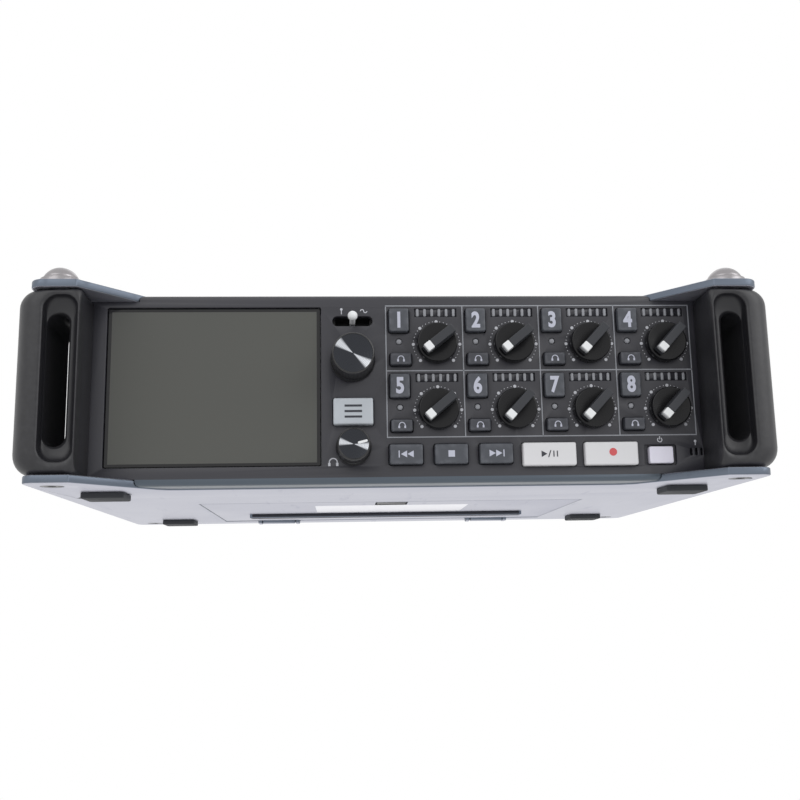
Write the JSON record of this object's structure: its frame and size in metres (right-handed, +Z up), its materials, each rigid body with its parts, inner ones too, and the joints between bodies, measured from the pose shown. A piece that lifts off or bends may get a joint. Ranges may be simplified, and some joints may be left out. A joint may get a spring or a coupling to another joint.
{
  "type": "portable field recorder",
  "caption": "Portable multitrack field recorder with a large display, rotary trims, numbered track keys and transport keys between two ear-fronted metal plates.",
  "frame": {"origin": "under the middle of the case, on the plane of the rubber feet", "axes": "+Z up, -Y out of the control panel, +X to the right of someone facing the controls"},
  "size_m": [0.179, 0.139, 0.0538],
  "materials": {
    "anodised_plate": "fine satin anodised, slate blue-grey",
    "panel_black": "fine matte charcoal with white screen-printed lines",
    "case_black": "fine moulded grain",
    "handle_black": "satin moulded",
    "stainless": "turned and polished",
    "black_screw": "black oxide",
    "rubber": "matte",
    "display_glass": "unlit display behind clear cover",
    "module_metal": "stamped frame",
    "lens": "pale light guide",
    "board": "solder mask",
    "pot_metal": "plated",
    "switch_black": "moulded",
    "jack_black": "glass-filled moulding",
    "socket_metal": "nickel plated",
    "bay_black": "moulded",
    "cell_wrap": "wrapped cells",
    "spun_black": "spun and black anodised",
    "white_tip": "gloss white",
    "pale_key": "satin silicone",
    "lavender_key": "satin silicone",
    "dark_key": "satin silicone",
    "solo_key": "satin silicone",
    "knob_black": "satin moulded"
  },
  "bodies": {
    "case": {"top_plate": "anodised_plate", "bottom_plate": "anodised_plate", "front_panel": "panel_black", "left_side_panel": "case_black", "right_side_panel": "case_black", "rear_panel": "case_black", "left_handle": "handle_black", "right_handle": "handle_black", "ear_bolts": "stainless", "plate_screws": "black_screw", "rubber_feet": "rubber", "display_window": "display_glass", "display_module": "module_metal", "light_lenses": "lens", "circuit_boards": "board", "potentiometers": "pot_metal", "key_switches": "switch_black", "input_jacks": "jack_black", "small_sockets": "socket_metal", "battery_bay": "bay_black", "battery_case": "bay_black", "batteries": "cell_wrap"},
    "track_button_1": {"track_button_1": "dark_key"},
    "track_button_2": {"track_button_2": "dark_key"},
    "track_button_3": {"track_button_3": "dark_key"},
    "track_button_4": {"track_button_4": "dark_key"},
    "track_button_5": {"track_button_5": "dark_key"},
    "track_button_6": {"track_button_6": "dark_key"},
    "track_button_7": {"track_button_7": "dark_key"},
    "track_button_8": {"track_button_8": "dark_key"},
    "solo_button_1": {"solo_button_1": "solo_key"},
    "solo_button_2": {"solo_button_2": "solo_key"},
    "solo_button_3": {"solo_button_3": "solo_key"},
    "solo_button_4": {"solo_button_4": "solo_key"},
    "solo_button_5": {"solo_button_5": "solo_key"},
    "solo_button_6": {"solo_button_6": "solo_key"},
    "solo_button_7": {"solo_button_7": "solo_key"},
    "solo_button_8": {"solo_button_8": "solo_key"},
    "rewind_button": {"rewind_button": "dark_key"},
    "stop_button": {"stop_button": "dark_key"},
    "forward_button": {"forward_button": "dark_key"},
    "play_button": {"play_button": "pale_key"},
    "record_button": {"record_button": "pale_key"},
    "power_button": {"power_button": "lavender_key"},
    "menu_button": {"menu_button": "pale_key"},
    "trim_knob_1": {"trim_knob_1": "knob_black"},
    "trim_knob_2": {"trim_knob_2": "knob_black"},
    "trim_knob_3": {"trim_knob_3": "knob_black"},
    "trim_knob_4": {"trim_knob_4": "knob_black"},
    "trim_knob_5": {"trim_knob_5": "knob_black"},
    "trim_knob_6": {"trim_knob_6": "knob_black"},
    "trim_knob_7": {"trim_knob_7": "knob_black"},
    "trim_knob_8": {"trim_knob_8": "knob_black"},
    "headphone_knob": {"headphone_knob": "spun_black"},
    "select_shaft": {"select_shaft": "stainless"},
    "select_knob": {"select_knob": "spun_black"},
    "slate_switch": {"slate_switch": "white_tip"},
    "battery_door": {"battery_door": "anodised_plate"},
    "door_latch": {"door_latch": "case_black"},
    "card_door": {"card_door": "case_black"}
  },
  "joints": [
    {"name": "battery_door_swing", "type": "hinge", "parent": "case", "child": "battery_door", "pos_m": [0, 0.0572, 0.0016], "axis": [1, 0, 0], "range_deg": [0, 100]},
    {"name": "door_latch_slide", "type": "slide", "parent": "battery_door", "child": "door_latch", "axis": [0, -1, 0], "range_m": [0, 0.0018]},
    {"name": "card_door_swing", "type": "hinge", "parent": "case", "child": "card_door", "pos_m": [0.0834, 0.022, 0.0075], "axis": [0, 1, 0], "range_deg": [0, 90]},
    {"name": "select_push", "type": "slide", "parent": "case", "child": "select_shaft", "axis": [0, 1, 0], "range_m": [0, 0.0006], "stiffness_N_per_m": 600},
    {"name": "select_turn", "type": "hinge", "parent": "select_shaft", "child": "select_knob", "pos_m": [-0.0114, -0.0565, 0.0319], "axis": [0, 1, 0], "continuous": true},
    {"name": "slate_tilt", "type": "hinge", "parent": "case", "child": "slate_switch", "pos_m": [-0.0114, -0.05, 0.04205], "axis": [0, 0, 1], "range_deg": [-16, 16], "stiffness_Nm_per_rad": 0.02},
    {"name": "headphone_knob_turn", "type": "hinge", "parent": "case", "child": "headphone_knob", "pos_m": [-0.0114, -0.0565, 0.0105], "axis": [0, 1, 0], "range_deg": [-212, 58]},
    {"name": "trim_knob_1_turn", "type": "hinge", "parent": "case", "child": "trim_knob_1", "pos_m": [0.00928, -0.0565, 0.0361], "axis": [0, 1, 0], "range_deg": [-9, 261]},
    {"name": "trim_knob_2_turn", "type": "hinge", "parent": "case", "child": "trim_knob_2", "pos_m": [0.02828, -0.0565, 0.0361], "axis": [0, 1, 0], "range_deg": [-8, 262]},
    {"name": "trim_knob_3_turn", "type": "hinge", "parent": "case", "child": "trim_knob_3", "pos_m": [0.04728, -0.0565, 0.0361], "axis": [0, 1, 0], "range_deg": [0, 270]},
    {"name": "trim_knob_4_turn", "type": "hinge", "parent": "case", "child": "trim_knob_4", "pos_m": [0.06628, -0.0565, 0.0361], "axis": [0, 1, 0], "range_deg": [0, 270]},
    {"name": "trim_knob_5_turn", "type": "hinge", "parent": "case", "child": "trim_knob_5", "pos_m": [0.00928, -0.0565, 0.01966], "axis": [0, 1, 0], "range_deg": [-7, 263]},
    {"name": "trim_knob_6_turn", "type": "hinge", "parent": "case", "child": "trim_knob_6", "pos_m": [0.02828, -0.0565, 0.01966], "axis": [0, 1, 0], "range_deg": [0, 270]},
    {"name": "trim_knob_7_turn", "type": "hinge", "parent": "case", "child": "trim_knob_7", "pos_m": [0.04728, -0.0565, 0.01966], "axis": [0, 1, 0], "range_deg": [0, 270]},
    {"name": "trim_knob_8_turn", "type": "hinge", "parent": "case", "child": "trim_knob_8", "pos_m": [0.06628, -0.0565, 0.01966], "axis": [0, 1, 0], "range_deg": [0, 270]},
    {"name": "track_button_1_press", "type": "slide", "parent": "case", "child": "track_button_1", "axis": [0, 1, 0], "range_m": [0, 0.0008], "stiffness_N_per_m": 400},
    {"name": "track_button_2_press", "type": "slide", "parent": "case", "child": "track_button_2", "axis": [0, 1, 0], "range_m": [0, 0.0008], "stiffness_N_per_m": 400},
    {"name": "track_button_3_press", "type": "slide", "parent": "case", "child": "track_button_3", "axis": [0, 1, 0], "range_m": [0, 0.0008], "stiffness_N_per_m": 400},
    {"name": "track_button_4_press", "type": "slide", "parent": "case", "child": "track_button_4", "axis": [0, 1, 0], "range_m": [0, 0.0008], "stiffness_N_per_m": 400},
    {"name": "track_button_5_press", "type": "slide", "parent": "case", "child": "track_button_5", "axis": [0, 1, 0], "range_m": [0, 0.0008], "stiffness_N_per_m": 400},
    {"name": "track_button_6_press", "type": "slide", "parent": "case", "child": "track_button_6", "axis": [0, 1, 0], "range_m": [0, 0.0008], "stiffness_N_per_m": 400},
    {"name": "track_button_7_press", "type": "slide", "parent": "case", "child": "track_button_7", "axis": [0, 1, 0], "range_m": [0, 0.0008], "stiffness_N_per_m": 400},
    {"name": "track_button_8_press", "type": "slide", "parent": "case", "child": "track_button_8", "axis": [0, 1, 0], "range_m": [0, 0.0008], "stiffness_N_per_m": 400},
    {"name": "solo_button_1_press", "type": "slide", "parent": "case", "child": "solo_button_1", "axis": [0, 1, 0], "range_m": [0, 0.0008], "stiffness_N_per_m": 400},
    {"name": "solo_button_2_press", "type": "slide", "parent": "case", "child": "solo_button_2", "axis": [0, 1, 0], "range_m": [0, 0.0008], "stiffness_N_per_m": 400},
    {"name": "solo_button_3_press", "type": "slide", "parent": "case", "child": "solo_button_3", "axis": [0, 1, 0], "range_m": [0, 0.0008], "stiffness_N_per_m": 400},
    {"name": "solo_button_4_press", "type": "slide", "parent": "case", "child": "solo_button_4", "axis": [0, 1, 0], "range_m": [0, 0.0008], "stiffness_N_per_m": 400},
    {"name": "solo_button_5_press", "type": "slide", "parent": "case", "child": "solo_button_5", "axis": [0, 1, 0], "range_m": [0, 0.0008], "stiffness_N_per_m": 400},
    {"name": "solo_button_6_press", "type": "slide", "parent": "case", "child": "solo_button_6", "axis": [0, 1, 0], "range_m": [0, 0.0008], "stiffness_N_per_m": 400},
    {"name": "solo_button_7_press", "type": "slide", "parent": "case", "child": "solo_button_7", "axis": [0, 1, 0], "range_m": [0, 0.0008], "stiffness_N_per_m": 400},
    {"name": "solo_button_8_press", "type": "slide", "parent": "case", "child": "solo_button_8", "axis": [0, 1, 0], "range_m": [0, 0.0008], "stiffness_N_per_m": 400},
    {"name": "rewind_button_press", "type": "slide", "parent": "case", "child": "rewind_button", "axis": [0, 1, 0], "range_m": [0, 0.0008], "stiffness_N_per_m": 400},
    {"name": "stop_button_press", "type": "slide", "parent": "case", "child": "stop_button", "axis": [0, 1, 0], "range_m": [0, 0.0008], "stiffness_N_per_m": 400},
    {"name": "forward_button_press", "type": "slide", "parent": "case", "child": "forward_button", "axis": [0, 1, 0], "range_m": [0, 0.0008], "stiffness_N_per_m": 400},
    {"name": "play_button_press", "type": "slide", "parent": "case", "child": "play_button", "axis": [0, 1, 0], "range_m": [0, 0.0008], "stiffness_N_per_m": 400},
    {"name": "record_button_press", "type": "slide", "parent": "case", "child": "record_button", "axis": [0, 1, 0], "range_m": [0, 0.0008], "stiffness_N_per_m": 400},
    {"name": "power_button_press", "type": "slide", "parent": "case", "child": "power_button", "axis": [0, 1, 0], "range_m": [0, 0.0008], "stiffness_N_per_m": 400},
    {"name": "menu_button_press", "type": "slide", "parent": "case", "child": "menu_button", "axis": [0, 1, 0], "range_m": [0, 0.0008], "stiffness_N_per_m": 400}
  ]
}
